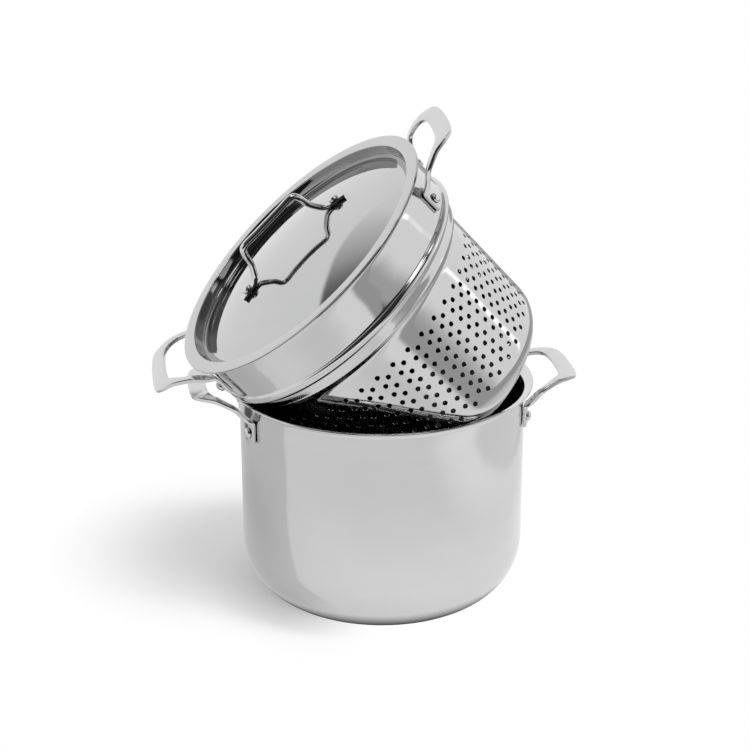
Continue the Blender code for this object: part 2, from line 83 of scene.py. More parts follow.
def turned(profile, angles):
    """A closed (radius, height) profile turned about Z, as a bmesh."""
    build = bmesh.new()
    rings = []
    for radius, height in profile:
        if radius < 1e-6:
            rings.append([build.verts.new((0, 0, height))] * len(angles))
        else:
            rings.append([build.verts.new((radius * math.cos(a), radius * math.sin(a),
                                           height)) for a in angles])
    for here, there in zip(rings, rings[1:] + rings[:1]):
        for i in range(len(angles)):
            j = (i + 1) % len(angles)
            corners = []
            for vert in (here[i], there[i], there[j], here[j]):
                if vert not in corners:
                    corners.append(vert)
            if len(corners) > 2:
                build.faces.new(corners)
    return build


def finish_mesh(name, build, place=Matrix(), sharp=30.0):
    """Turns a bmesh into an object at the origin, with its place in the mesh."""
    bmesh.ops.remove_doubles(build, verts=build.verts, dist=1e-6)
    bmesh.ops.recalc_face_normals(build, faces=build.faces)
    build.transform(place)
    mesh = bpy.data.meshes.new(name)
    build.to_mesh(mesh)
    build.free()
    mesh.shade_smooth()
    mesh.set_sharp_from_angle(angle=math.radians(sharp))
    item = bpy.data.objects.new(name, mesh)
    bpy.context.scene.collection.objects.link(item)
    return item


class Wire:
    """A shader socket whose arithmetic adds Math nodes to its own material."""

    def __init__(self, finish, socket):
        self.finish = finish
        self.socket = socket

    def math(self, operation, *others):
        return self.finish.node("Math", {"operation": operation},
                                dict(enumerate((self, *others))))

    def __add__(self, other):
        return self.math("ADD", other)

    def __sub__(self, other):
        return self.math("SUBTRACT", other)

    def __mul__(self, other):
        return self.math("MULTIPLY", other)

    def __truediv__(self, other):
        return self.math("DIVIDE", other)

    def __radd__(self, other):
        return self + other

    def __rsub__(self, other):
        return (self - other) * -1.0

    def ease(self, low, high, start=0.0, end=1.0):
        """Goes smoothly from start to end while this value goes from low to high."""
        return self.finish.node("MapRange", {"interpolation_type": "SMOOTHSTEP"},
                                {"Value": self, "From Min": low, "From Max": high,
                                 "To Min": start, "To Max": end})


class Finish:
    """One procedural material: its tree and its Principled shader."""

    def __init__(self, name):
        self.material = bpy.data.materials.new(name)
        self.material.use_nodes = True
        self.tree = self.material.node_tree
        self.shader = self.tree.nodes["Principled BSDF"]

    def node(self, kind, settings, values, out=0):
        """Adds a node: its settings are set first, then its sockets."""
        made = self.tree.nodes.new("ShaderNode" + kind)
        for key, value in settings.items():
            setattr(made, key, value)
        for key, value in values.items():
            if isinstance(value, Wire):
                self.tree.links.new(value.socket, made.inputs[key])
            else:
                made.inputs[key].default_value = value
        return Wire(self, made.outputs[out])

    def feed(self, name, value):
        """Sets one input of the shader to a number, a colour or a socket."""
        if isinstance(value, Wire):
            self.tree.links.new(value.socket, self.shader.inputs[name])
        else:
            self.shader.inputs[name].default_value = value

    def place(self, matrix):
        """Object coordinates seen from a piece's own turning frame, as x, y, z."""
        inverse = matrix.inverted()
        point = self.node("TexCoord", {}, {}, "Object")
        parts = []
        for row in range(3):
            along = tuple(inverse[row][:3])
            dot = self.node("VectorMath", {"operation": "DOT_PRODUCT"},
                            {0: point, 1: along}, "Value")
            parts.append(dot + inverse[row][3])
        return parts

    def vector(self, x, y, z):
        return self.node("CombineXYZ", {}, {0: x, 1: y, 2: z})

    def tint(self, shade, tone):
        """Makes the shader's colour a shade times a changing tone."""
        self.feed("Base Color", self.vector(*[tone * part for part in shade]))

    def noise(self, vector, scale, detail=2.0, rough=0.5):
        """Noise about 0.5, scale waves a metre."""
        return self.node("TexNoise", {},
                         {"Vector": vector, "Scale": scale, "Detail": detail,
                          "Roughness": rough}, "Fac")

    def bump(self, height, strength, distance, under=None):
        """Bump from a height, on top of another bump if there is one."""
        values = {"Strength": strength, "Distance": distance, "Height": height}
        if under:
            values["Normal"] = under
        return self.node("Bump", {}, values, "Normal")


def turned_steel(name, matrix, shade, roughness, streaks, relief, wave, shaded_bowl=None, shaded_recess=None):
    """Steel polished on a lathe: fine rings round the axis (streaks a metre, with
    a relief), soft smudges and the sheet's slight waves. Painted shade makes it
    darker inside shaded_bowl (its corner's centre, the corner's two radii, how
    much darker), which is also rougher, and in shaded_recess (its two radii, how
    much darker)."""
    finish = Finish(name)
    x, y, z = finish.place(matrix)
    radius = (x * x + y * y).math("SQRT")
    angle = y.math("ARCTAN2", x)
    point = finish.vector(x, y, z)
    rings = finish.noise(finish.vector(angle * 1.2, radius * streaks, z * streaks), 1.0, 3.0)
    bands = finish.noise(finish.vector(angle * 0.6, radius * 90.0, z * 90.0), 1.0, 2.0)
    smudge = finish.noise(point, 22.0, 4.0, 0.55)
    wear = finish.noise(point, 140.0, 3.0, 0.6)
    tone = 1.0 + (rings - 0.5) * 0.05 + (smudge - 0.5) * 0.06 + (bands - 0.5) * 0.03
    rough = (roughness + (smudge - 0.5) * roughness * 0.5 + (rings - 0.5) * roughness * 0.5
             + (wear - 0.5) * roughness * 0.25)
    # Painted shade: the inside of a bowl lies in shade, so its colour is darkened there; it is also
    # made rougher.
    if shaded_bowl:
        corner_radius, corner_height, across_bend, up_bend, darker = shaded_bowl
        past = (radius - corner_radius).math("MAXIMUM", 0.0) / across_bend
        under = (corner_height - z).math("MAXIMUM", 0.0) / up_bend
        inside = (past * past + under * under).math("LESS_THAN", 1.0)
        tone = tone * (1.0 - inside * darker)
        rough = rough + inside * 0.10
    # Painted shade: a recess lies in shade, so its colour is darkened there.
    if shaded_recess:
        near, far, darker = shaded_recess
        within = radius.math("GREATER_THAN", near) * radius.math("LESS_THAN", far)
        tone = tone * (1.0 - within * darker)
    finish.tint(shade, tone)
    finish.feed("Metallic", 1.0)
    finish.feed("Roughness", rough.math("MAXIMUM", 0.02))
    waves = finish.bump(finish.noise(point, 11.0, 1.0), 1.0, wave)
    finish.feed("Normal", finish.bump(rings * 0.7 + bands * 0.3, relief, 0.0002, waves))
    return finish.material


# The outline goes round the lip's edge, down the outside, in along the base
# to the middle, and back up the inside.
flat_radius = POT_RADIUS - POT_CORNER[0]
bore_radius = POT_RADIUS - POT_WALL
corner_centre = (flat_radius, POT_CORNER[1])
lip_reach, lip_height = POT_LIP
lip_centre = (POT_RADIUS + lip_reach, POT_HEIGHT - lip_height)
pot_profile = arc((POT_RADIUS + lip_reach, POT_HEIGHT - POT_WALL / 2),
                  (POT_WALL / 2, POT_WALL / 2), 80, -80, 6)
pot_profile += arc(lip_centre, (lip_reach, lip_height - POT_WALL), 90, 180, 10)
pot_profile += [(POT_RADIUS, POT_HEIGHT * level) for level in POT_LEVELS]
pot_profile += arc(corner_centre, POT_CORNER, 0, -88, 22)
pot_profile += [(flat_radius * share, 0.0) for share in (0.97, 0.6, 0.3, 0.0)]
pot_profile += [(0.0, POT_WALL), (flat_radius * 0.5, POT_WALL)]
pot_profile += arc(corner_centre, (POT_CORNER[0] - POT_WALL, POT_CORNER[1] - POT_WALL),
                   -90, 0, 20)
pot_profile += [(bore_radius, POT_HEIGHT * level) for level in POT_LEVELS[::-1]]
pot_profile += arc(lip_centre, (lip_reach + POT_WALL, lip_height), 180, 90, 10)
# The pot's inside is darkened by painted shade.
pot_painted_shade_bowl = (*corner_centre, POT_CORNER[0] - POT_WALL / 2, POT_CORNER[1] - POT_WALL / 2,
              POT_INSIDE_PAINTED_SHADE)
pot_steel = turned_steel("pot_steel_look", Matrix(), shade=(0.66, 0.66, 0.665), roughness=0.10,
                         streaks=1600.0, relief=0.06, wave=0.0016, shaded_bowl=pot_painted_shade_bowl)
pot_body = finish_mesh("pot_shell", turned(pot_profile, even_angles(POT_SIDES)))
pot_body.data.materials.append(pot_steel)
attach(pot_body, "pot")
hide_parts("pot_body")


# Loop handles. Stainless castings, four alike: two flat feet riveted to the
# wall, legs that swing out and up, and a broad flat grip. Ground and polished.

HANDLE_REACH = 0.0434
HANDLE_RISE = 0.0030
HANDLE_HALF_WIDTH = 0.0460
HANDLE_GRIP_WIDTH = 0.0147
HANDLE_LEG_WIDTH = 0.0072
HANDLE_FOOT_ANGLE = math.radians(19.0)
HANDLE_FOOT_WIDTH = 0.0145
HANDLE_FOOT_TOP = 0.0185
HANDLE_FOOT_BOTTOM = 0.0345
HANDLE_FOOT_THICKNESS = 0.0030
HANDLE_LEG_THICKNESS = 0.0036
HANDLE_GRIP_THICKNESS = 0.0026
HANDLE_RIVET_DROP = 0.0270
HANDLE_NECK_SWING = 0.0022
POT_SPIN = math.radians(1.8)
CLEAR = 0.0003
INSERT_COLLAR = 0.1203
INSERT_WALL = 0.0010
CURVE_STEPS = 6

# The leaning place of the insert, read off the CAD: its axis, its lip's middle
# and the way from its left handle to its right one.
insert_cad = frame["nodes"]["insert_body"]
lift_axis = Vector(next(j for j in frame["joints"] if j["name"] == "insert_lift")["axis"])
lift_axis.normalize()
heights = [v.co.dot(lift_axis) for v in insert_cad.data.vertices]
highest = max(heights)
top_ring = [v.co for v, height in zip(insert_cad.data.vertices, heights)
            if height > highest - 1e-5]
lip_middle = sum(top_ring, Vector()) / len(top_ring)


def middle(name):
    """Mean place of the vertices of a node."""
    points = [v.co for v in frame["nodes"][name].data.vertices]
    return sum(points, Vector()) / len(points)


sideways = (middle("insert_rivet_right_front") + middle("insert_rivet_right_back")
            - middle("insert_rivet_left_front") - middle("insert_rivet_left_back"))
sideways = (sideways - lift_axis * sideways.dot(lift_axis)).normalized()
insert_place = Matrix((sideways, lift_axis.cross(sideways), lift_axis)).transposed().to_4x4()
insert_place.translation = lip_middle


def smooth_path(points):
    """Catmull-Rom curve through points, ends kept."""
    full = [points[0] * 2 - points[1]] + points + [points[-1] * 2 - points[-2]]
    made = []
    for i in range(1, len(full) - 2):
        p0, p1, p2, p3 = full[i - 1:i + 3]
        for k in range(CURVE_STEPS):
            t = k / CURVE_STEPS
            made.append(0.5 * ((2 * p1) + (p2 - p0) * t + (2 * p0 - 5 * p1 + 4 * p2 - p3) * t * t
                               + (3 * p1 - p0 - 3 * p2 + p3) * t ** 3))
    made.append(points[-1].copy())
    return made


def skinned(rings):
    """Closed rings of equally many points joined into a bmesh, ends capped."""
    build = bmesh.new()
    rows = [[build.verts.new(p) for p in ring] for ring in rings]
    for here, there in zip(rows[:-1], rows[1:]):
        for i in range(len(here)):
            j = (i + 1) % len(here)
            build.faces.new((here[i], here[j], there[j], there[i]))
    build.faces.new(rows[0][::-1])
    build.faces.new(rows[-1])
    return build


# Half a handle from its foot to the middle of its grip: the outer edge, the
# inner edge, and how the thickness mixes the foot's, the leg's and the grip's.
# An edge has shares of its reach and half width, and a level: a share of the
# drop to the foot's top where it is negative, else of the grip's rise.
HANDLE_STATIONS = [
    ((0.020, 1.007, -0.670), (0.105, 0.960, -0.540), (0.5, 0.5, 0.0)),
    ((0.170, 1.013, -0.280), (0.270, 1.010, -0.265), (0.0, 1.0, 0.0)),
    ((0.364, 0.963, -0.038), (0.505, 0.959, -0.068), (0.0, 1.0, 0.0)),
    ((0.553, 0.893, 0.700), (0.725, 0.840, 0.470), (0.0, 1.0, 0.0)),
    ((0.733, 0.830, 0.970), (0.871, 0.722, 0.770), (0.0, 0.7, 0.3)),
    ((0.860, 0.755, 1.030), (0.951, 0.575, 0.900), (0.0, 0.4, 0.6)),
    ((0.943, 0.640, 0.800), (0.983, 0.412, 0.930), (0.0, 0.0, 1.0)),
    ((0.990, 0.360, 0.630), (0.997, 0.206, 1.000), (0.0, 0.0, 1.0)),
    ((1.000, 0.000, 0.570), (1.000, 0.000, 1.000), (0.0, 0.0, 1.0)),
]


def handle_edges(wall_radius):
    """Outer and inner edge points and thickness down half a handle, foot first."""
    side = Vector((math.cos(HANDLE_FOOT_ANGLE), math.sin(HANDLE_FOOT_ANGLE), 0))
    half = Vector((-side.y, side.x, 0)) * 0.5 * HANDLE_FOOT_WIDTH
    foot = side * (wall_radius + CLEAR + 0.5 * HANDLE_FOOT_THICKNESS
                   + HANDLE_FOOT_WIDTH ** 2 / (8 * wall_radius))
    low = Vector((0, 0, -HANDLE_FOOT_BOTTOM))
    top = Vector((0, 0, -HANDLE_FOOT_TOP))
    neck = foot + Vector((HANDLE_NECK_SWING, 0, 0))
    outer_size = (HANDLE_REACH, HANDLE_HALF_WIDTH)
    inner_size = (HANDLE_REACH - HANDLE_GRIP_WIDTH, HANDLE_HALF_WIDTH - HANDLE_LEG_WIDTH)

    def edge_point(size, shares):
        level = shares[2] * (HANDLE_FOOT_TOP if shares[2] < 0 else HANDLE_RISE)
        return Vector((wall_radius + shares[0] * size[0], shares[1] * size[1], level))

    edges = [(foot + half + low, foot - half + low, HANDLE_FOOT_THICKNESS),
             (foot + half + top, foot - half + top, HANDLE_FOOT_THICKNESS),
             (neck + half + top * 0.87, neck - half * 0.70 + top * 0.83, HANDLE_FOOT_THICKNESS)]
    for outer, inner, mix in HANDLE_STATIONS:
        thickness = (mix[0] * HANDLE_FOOT_THICKNESS + mix[1] * HANDLE_LEG_THICKNESS
                     + mix[2] * HANDLE_GRIP_THICKNESS)
        edges.append((edge_point(outer_size, outer), edge_point(inner_size, inner), thickness))
    return edges


def strap_section(outer, inner, along, thickness):
    """Rounded-edge section of the casting between two edge points."""
    centre = (outer + inner) * 0.5
    wide = outer - inner
    half = 0.5 * wide.length
    wide.normalize()
    up = along.cross(wide).normalized()
    lift = 0.5 * thickness
    edge = min(lift * 0.45, half * 0.5)
    ring = []
    for turn, (cx, cy) in zip((0, 90, 180, 270), ((1, 1), (-1, 1), (-1, -1), (1, -1))):
        for k in range(4):
            a = math.radians(turn + 30 * k)
            ring.append(centre + wide * (cx * (half - edge) + edge * math.cos(a))
                        + up * (cy * (lift - edge) + edge * math.sin(a)))
    return ring


def loop_handle(name, wall_radius, place):
    """One casting: sections down half of it, and the same mirrored."""
    edges = handle_edges(wall_radius)
    outer = smooth_path([edge[0] for edge in edges])
    inner = smooth_path([edge[1] for edge in edges])
    last = len(outer) - 1
    rings = []
    for k in range(last + 1):
        before = outer[max(k - 1, 0)] + inner[max(k - 1, 0)]
        after = outer[min(k + 1, last)] + inner[min(k + 1, last)]
        along = Vector((0, -1, 0)) if k == last else after - before
        station = k // CURVE_STEPS
        low = edges[station][2]
        high = edges[min(station + 1, len(edges) - 1)][2]
        thickness = low + (high - low) * (k % CURVE_STEPS) / CURVE_STEPS
        rings.append(strap_section(outer[k], inner[k], along, thickness))
    far = [[Vector((p.x, -p.y, p.z)) for p in ring] for ring in rings[-2::-1]]
    return finish_mesh(name, skinned(rings + far), place, 40.0)


def cast_steel(name, shade, roughness):
    """Hand-polished casting: slightly wavy, with faint wheel marks."""
    finish = Finish(name)
    point = finish.node("TexCoord", {}, {}, "Object")
    wave = finish.noise(point, 60.0, 3.0)
    marks = finish.noise(finish.node("VectorMath", {"operation": "MULTIPLY"},
                                     {0: point, 1: (300.0, 1500.0, 900.0)}), 1.0, 2.0)
    pits = finish.noise(point, 900.0, 2.0)
    finish.tint(shade, 1.0 + (wave - 0.5) * 0.08 + (marks - 0.5) * 0.04)
    finish.feed("Metallic", 1.0)
    finish.feed("Roughness", (roughness + (marks - 0.5) * roughness * 0.6
                              + (wave - 0.5) * roughness * 0.5).math("MAXIMUM", 0.02))
    finish.feed("Normal", finish.bump(wave * 0.8 + pits * 0.05, 0.12, 0.0004))
    return finish.material


cast = cast_steel("cast_steel_look", shade=(0.63, 0.63, 0.635), roughness=0.12)
pot_rim = Matrix.Translation((0, 0, POT_HEIGHT)) @ Matrix.Rotation(POT_SPIN, 4, "Z")
for body, radius, base in (("pot", POT_RADIUS, pot_rim), ("insert", INSERT_COLLAR, insert_place)):
    for side, turn in (("right", 0.0), ("left", math.pi)):
        handle = loop_handle(f"{body}_loop_{side}", radius, base @ Matrix.Rotation(turn, 4, "Z"))
        handle.data.materials.append(cast)
        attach(handle, body)
        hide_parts(f"{body}_handle_{side}")


# Rivets. Solid steel rivets with domed heads outside and a flat formed head
# inside, two to each loop handle and one to each foot of the lid's handle.

RIVET_HEAD = 0.0045
RIVET_HEAD_HEIGHT = 0.0030
RIVET_SHANK = 0.0022
RIVET_TAIL = 0.0040
RIVET_TAIL_HEIGHT = 0.0013
RIVET_HEAD_EDGE = 0.0006
RIVET_TAIL_EDGE = 0.0002
RIVET_SIDES = 32


def rivet_shape(name, grip):
    """A rivet through a grip: head over its zero level, tail under the sheets."""
    tail = -grip - CLEAR
    profile = [(0.0, CLEAR + RIVET_HEAD_HEIGHT)]
    profile += arc((0.0, CLEAR + RIVET_HEAD_EDGE),
                   (RIVET_HEAD, RIVET_HEAD_HEIGHT - RIVET_HEAD_EDGE), 78, 0, 8)
    profile += [(RIVET_HEAD - 0.0001, CLEAR), (RIVET_SHANK, CLEAR), (RIVET_SHANK, tail),
                (RIVET_TAIL, tail)]
    profile += arc((0.0, tail - RIVET_TAIL_EDGE),
                   (RIVET_TAIL, RIVET_TAIL_HEIGHT - RIVET_TAIL_EDGE), -20, -75, 4)
    profile += [(0.0, tail - RIVET_TAIL_HEIGHT)]
    item = finish_mesh(name, turned(profile, even_angles(RIVET_SIDES)))
    bpy.context.scene.collection.objects.unlink(item)
    return item


def shaped_mesh(item):
    """An object's mesh as its modifiers leave it."""
    shaped = item.evaluated_get(bpy.context.evaluated_depsgraph_get())
    return bpy.data.meshes.new_from_object(shaped)


class Tree:
    """A Geometry Nodes tree with named inputs."""

    def __init__(self, name, inputs):
        self.tree = bpy.data.node_groups.new(name, "GeometryNodeTree")
        self.ids = {}
        for label, kind in [("Geometry", "Geometry")] + inputs:
            made = self.tree.interface.new_socket(label, in_out="INPUT",
                                                  socket_type="NodeSocket" + kind)
            self.ids[label] = made.identifier
        self.tree.interface.new_socket("Geometry", in_out="OUTPUT",
                                       socket_type="NodeSocketGeometry")
        self.given = self.tree.nodes.new("NodeGroupInput")
        self.result = self.tree.nodes.new("NodeGroupOutput")

    def node(self, kind, settings, values):
        """Adds a node; its values are numbers or other nodes' sockets."""
        made = self.tree.nodes.new(kind)
        for key, value in settings.items():
            setattr(made, key, value)
        for key, value in values.items():
            if isinstance(value, bpy.types.NodeSocket):
                self.tree.links.new(value, made.inputs[key])
            else:
                made.inputs[key].default_value = value
        return made

    def math(self, operation, a, b=0.0):
        return self.node("ShaderNodeMath", {"operation": operation}, {0: a, 1: b}).outputs[0]

    def value(self, label):
        return self.given.outputs[label]

    def close(self, geometry, material):
        """Ends the tree: plain geometry with its material."""
        solid = self.node("GeometryNodeRealizeInstances", {}, {"Geometry": geometry})
        painted = self.node("GeometryNodeSetMaterial", {},
                            {"Geometry": solid.outputs[0], "Material": material})
        self.tree.links.new(painted.outputs[0], self.result.inputs[0])

    def made_from(self, name, item, values):
        """Runs the tree on an object and returns the result as a plain object."""
        modifier = item.modifiers.new(name, "NODES")
        modifier.node_group = self.tree
        for label, value in values.items():
            modifier[self.ids[label]] = value
        mesh = shaped_mesh(item)
        mesh.name = name
        bpy.data.objects.remove(item)
        plain = bpy.data.objects.new(name, mesh)
        bpy.context.scene.collection.objects.link(plain)
        return plain


riveting = Tree("riveting", [("Rivet", "Object"), ("Steel", "Material")])
heads = riveting.node("GeometryNodeObjectInfo", {}, {"Object": riveting.value("Rivet")})
facing = riveting.node("GeometryNodeInputNamedAttribute", {"data_type": "FLOAT_VECTOR"},
                       {"Name": "outward"})
turn_out = riveting.node("FunctionNodeAlignRotationToVector", {"axis": "Z"},
                         {"Vector": facing.outputs[0]})
set_in = riveting.node("GeometryNodeInstanceOnPoints", {},
                       {"Points": riveting.value("Geometry"), "Instance": heads.outputs["Geometry"],
                        "Rotation": turn_out.outputs[0]})
riveting.close(set_in.outputs[0], riveting.value("Steel"))


def rivets(name, places, grip, material):
    """Rivets at (point on the outer face, outward direction) places."""
    mesh = bpy.data.meshes.new(name + "_points")
    mesh.from_pydata([point for point, outward in places], [], [])
    directions = mesh.attributes.new("outward", "FLOAT_VECTOR", "POINT")
    for entry, (point, outward) in zip(directions.data, places):
        entry.vector = outward
    points = bpy.data.objects.new(name + "_points", mesh)
    bpy.context.scene.collection.objects.link(points)
    shape = rivet_shape(name + "_shape", grip)
    bpy.context.view_layer.update()
    made = riveting.made_from(name, points, {"Rivet": shape, "Steel": material})
    bpy.data.objects.remove(shape)
    return made


rivet_steel = cast_steel("rivet_steel_look", shade=(0.66, 0.66, 0.665), roughness=0.16)
names = [f"{side}_{end}" for side in ("right", "left") for end in ("front", "back")]
for body, radius, sheet, base in (("pot", POT_RADIUS, POT_WALL, pot_rim),
                                  ("insert", INSERT_COLLAR, INSERT_WALL, insert_place)):
    face = radius + CLEAR + HANDLE_FOOT_THICKNESS + HANDLE_FOOT_WIDTH ** 2 / (8 * radius)
    places = []
    for centre in (0.0, math.pi):
        for sign in (-1, 1):
            angle = centre + sign * HANDLE_FOOT_ANGLE
            outward = Vector((math.cos(angle), math.sin(angle), 0))
            point = base @ (outward * face + Vector((0, 0, -HANDLE_RIVET_DROP)))
            places.append((point, base.to_3x3() @ outward))
    group = rivets(f"{body}_rivets", places, face - (radius - sheet), rivet_steel)
    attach(group, body)
    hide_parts(*[f"{body}_rivet_{n}" for n in names])


# Insert. Thin stainless basket: flared lip, tall collar, a pressed bead that
# sits on the pot's lip, a stepped band, and a basket wall with punched holes.

INSERT_LIP = (0.0070, 0.0060)
COLLAR_HEIGHT = 0.0385
BEAD_REACH = 0.0030
BEAD_HEIGHT = 0.0090
BEAD_ROUND = (0.0032, 0.0040)
BAND = POT_RADIUS - POT_WALL - 0.0010
BAND_HEIGHT = 0.0100
BAND_TAPER = 0.0016
STEP_ROUND = 0.0018
SHOULDER_HEIGHT = 0.0065
BASKET_RADIUS = 0.1108
BASKET_TAPER = 0.0006
BASKET_HEIGHT = 0.1225
BASKET_CORNER = 0.0250
HOLE_RADIUS = 0.0021
HOLE_PAIRS = 42
HOLE_ROWS = 8
HOLE_PITCH = 0.01024
HOLE_PAIR_ANGLE = math.radians(3.6)
HOLE_TOP_MARGIN = 0.0165
HOLE_STAGGER = 0.0054
HOLE_START = math.pi / 56
HOLE_ROLL = 0.00018
HOLE_BORDER = 0.0009
CELL_STEPS = 4
BASE_RINGS = 4
BASE_PITCH = 0.0180
BASE_BORDER = 0.0015
WELD = 0.00002
# How much painted shade darkens the basket's inside, which is seen through the holes.
INSERT_INSIDE_PAINTED_SHADE = 0.90

shoulder = -(COLLAR_HEIGHT + BEAD_HEIGHT + BAND_HEIGHT + SHOULDER_HEIGHT)
basket_base = shoulder - BASKET_HEIGHT
first_row = shoulder - HOLE_TOP_MARGIN
zone_top = first_row + HOLE_PITCH / 2
zone_low = zone_top - (HOLE_ROWS + 0.5) * HOLE_PITCH
pair_pitch = 2 * math.pi / HOLE_PAIRS
first_hole = HOLE_START - 0.5 * HOLE_PAIR_ANGLE
cell_left = -0.5 * (pair_pitch - HOLE_PAIR_ANGLE)
cell_middle = 0.5 * HOLE_PAIR_ANGLE
cell_right = cell_left + pair_pitch


def basket_radius(height):
    """Outer radius of the basket wall, which tapers a little downwards."""
    share = (shoulder - height) / BASKET_HEIGHT
    return BASKET_RADIUS - BASKET_TAPER * share


# One cell of the wall holds a pair of holes. It is drawn flat: x along the
# wall, y up it, z out of it. The right hole sits about half a row lower.
cell = bmesh.new()


def cell_patch(left, right, top, hole_x, hole_y):
    """A wall patch with a punched hole: its rim is slightly rolled outside."""
    low = top - HOLE_PITCH
    corners = [(left, low), (right, low), (right, top), (left, top)]
    edge = []
    for (x0, y0), (x1, y1) in zip(corners, corners[1:] + corners[:1]):
        edge += [(x0 + (x1 - x0) * k / CELL_STEPS, y0 + (y1 - y0) * k / CELL_STEPS)
                 for k in range(CELL_STEPS)]
    count = len(edge)

    def ring(radius, depth):
        made = []
        for k in range(count):
            a = math.radians(225 + 360 * k / count)
            made.append(cell.verts.new((hole_x + radius * math.cos(a),
                                        hole_y + radius * math.sin(a), depth)))
        return made

    rows = [[cell.verts.new((x, y, 0.0)) for x, y in edge],
            ring(HOLE_RADIUS + HOLE_BORDER, 0.0), ring(HOLE_RADIUS + HOLE_ROLL, 0.0),
            ring(HOLE_RADIUS, -HOLE_ROLL), ring(HOLE_RADIUS, -INSERT_WALL),
            [cell.verts.new((x, y, -INSERT_WALL)) for x, y in edge]]
    for here, there in zip(rows[:-1], rows[1:]):
        for i in range(count):
            j = (i + 1) % count
            cell.faces.new((here[i], here[j], there[j], there[i]))


cell_patch(cell_left * BASKET_RADIUS, cell_middle * BASKET_RADIUS, HOLE_PITCH / 2, 0.0, 0.0)
cell_patch(cell_middle * BASKET_RADIUS, cell_right * BASKET_RADIUS, 0.0,
           HOLE_PAIR_ANGLE * BASKET_RADIUS, -HOLE_STAGGER)
cell_mesh = bpy.data.meshes.new("basket_cell")
cell.to_mesh(cell_mesh)
cell.free()
cell_item = bpy.data.objects.new("basket_cell", cell_mesh)
bpy.context.scene.collection.objects.link(cell_item)

# The cell is set out in a flat grid, every pair and row of it, which is then
# rolled round the axis: x becomes an angle, y a height, z comes off the radius.
inputs = [("Pairs", "Int"), ("Rows", "Int"), ("Pair pitch", "Float"), ("Row pitch", "Float"),
          ("Radius", "Float"), ("Taper", "Float"), ("First row", "Float"),
          ("Shoulder", "Float"), ("First angle", "Float"), ("Steel", "Material")]
punching = Tree("punched_basket", inputs)
(pairs, rows, pair_step, row_step, wall_radius, slant, row_level, shoulder_level, start_angle,
 steel) = [punching.value(label) for label, kind in inputs]
width = punching.math("MULTIPLY", pair_step, punching.math("SUBTRACT", pairs, 1.0))
depth = punching.math("MULTIPLY", row_step, punching.math("SUBTRACT", rows, 1.0))
grid = punching.node("GeometryNodeMeshGrid", {},
                     {"Size X": width, "Size Y": depth, "Vertices X": pairs, "Vertices Y": rows})
corner = punching.node("ShaderNodeCombineXYZ", {},
                       {0: punching.math("MULTIPLY", width, 0.5),
                        1: punching.math("MULTIPLY", depth, -0.5)})
moved = punching.node("GeometryNodeTransform", {},
                      {"Geometry": grid.outputs[0], "Translation": corner.outputs[0]})
tiled = punching.node("GeometryNodeInstanceOnPoints", {},
                      {"Points": moved.outputs[0], "Instance": punching.value("Geometry")})
flat_wall = punching.node("GeometryNodeRealizeInstances", {}, {"Geometry": tiled.outputs[0]})
spot = punching.node("ShaderNodeSeparateXYZ", {},
                     {0: punching.node("GeometryNodeInputPosition", {}, {}).outputs[0]})
swing = punching.math("ADD", punching.math("DIVIDE", spot.outputs[0], wall_radius), start_angle)
level = punching.math("ADD", spot.outputs[1], row_level)
drop = punching.math("MULTIPLY", punching.math("SUBTRACT", shoulder_level, level), slant)
out = punching.math("SUBTRACT", punching.math("ADD", wall_radius, spot.outputs[2]), drop)
rolled = punching.node("ShaderNodeCombineXYZ", {},
                       {0: punching.math("MULTIPLY", out, punching.math("COSINE", swing)),
                        1: punching.math("MULTIPLY", out, punching.math("SINE", swing)),
                        2: level})
round_wall = punching.node("GeometryNodeSetPosition", {},
                           {"Geometry": flat_wall.outputs[0], "Position": rolled.outputs[0]})
welded = punching.node("GeometryNodeMergeByDistance", {},
                       {"Geometry": round_wall.outputs[0], "Distance": WELD})
punching.close(welded.outputs[0], steel)

low_radius = BASKET_RADIUS - BASKET_TAPER
base_rim = low_radius - BASKET_CORNER
inside_bend = BASKET_CORNER - 0.3 * INSERT_WALL
# The basket's inside is darkened by painted shade.
insert_painted_shade_bowl = (base_rim, basket_base + BASKET_CORNER, inside_bend, inside_bend,
                 INSERT_INSIDE_PAINTED_SHADE)
insert_steel = turned_steel("insert_steel_look", insert_place, shade=(0.61, 0.61, 0.61),
                            roughness=0.08, streaks=1500.0, relief=0.05, wave=0.0012,
                            shaded_bowl=insert_painted_shade_bowl)
wall_item = punching.made_from("basket_wall", cell_item, {
    "Pairs": HOLE_PAIRS, "Rows": HOLE_ROWS, "Pair pitch": pair_pitch * BASKET_RADIUS,
    "Row pitch": HOLE_PITCH, "Radius": BASKET_RADIUS, "Taper": BASKET_TAPER / BASKET_HEIGHT,
    "First row": first_row, "Shoulder": shoulder, "First angle": first_hole,
    "Steel": insert_steel})

# The plain parts are turned on the same columns as the cells, so that the
# wall closes. Half cells fill the zone's steps at its top and bottom.
columns = []
for pair in range(HOLE_PAIRS):
    for left, right in ((cell_left, cell_middle), (cell_middle, cell_right)):
        columns += [first_hole + pair * pair_pitch + left + (right - left) * k / CELL_STEPS
                    for k in range(CELL_STEPS)]


def offset(points, distance):
    """An open outline moved sideways by a wall thickness."""
    made = []
    for i, (radius, height) in enumerate(points):
        before = Vector(points[max(i - 1, 0)])
        after = Vector(points[min(i + 1, len(points) - 1)])
        along = (after - before).normalized()
        made.append((radius + along.y * distance, height - along.x * distance))
    return made


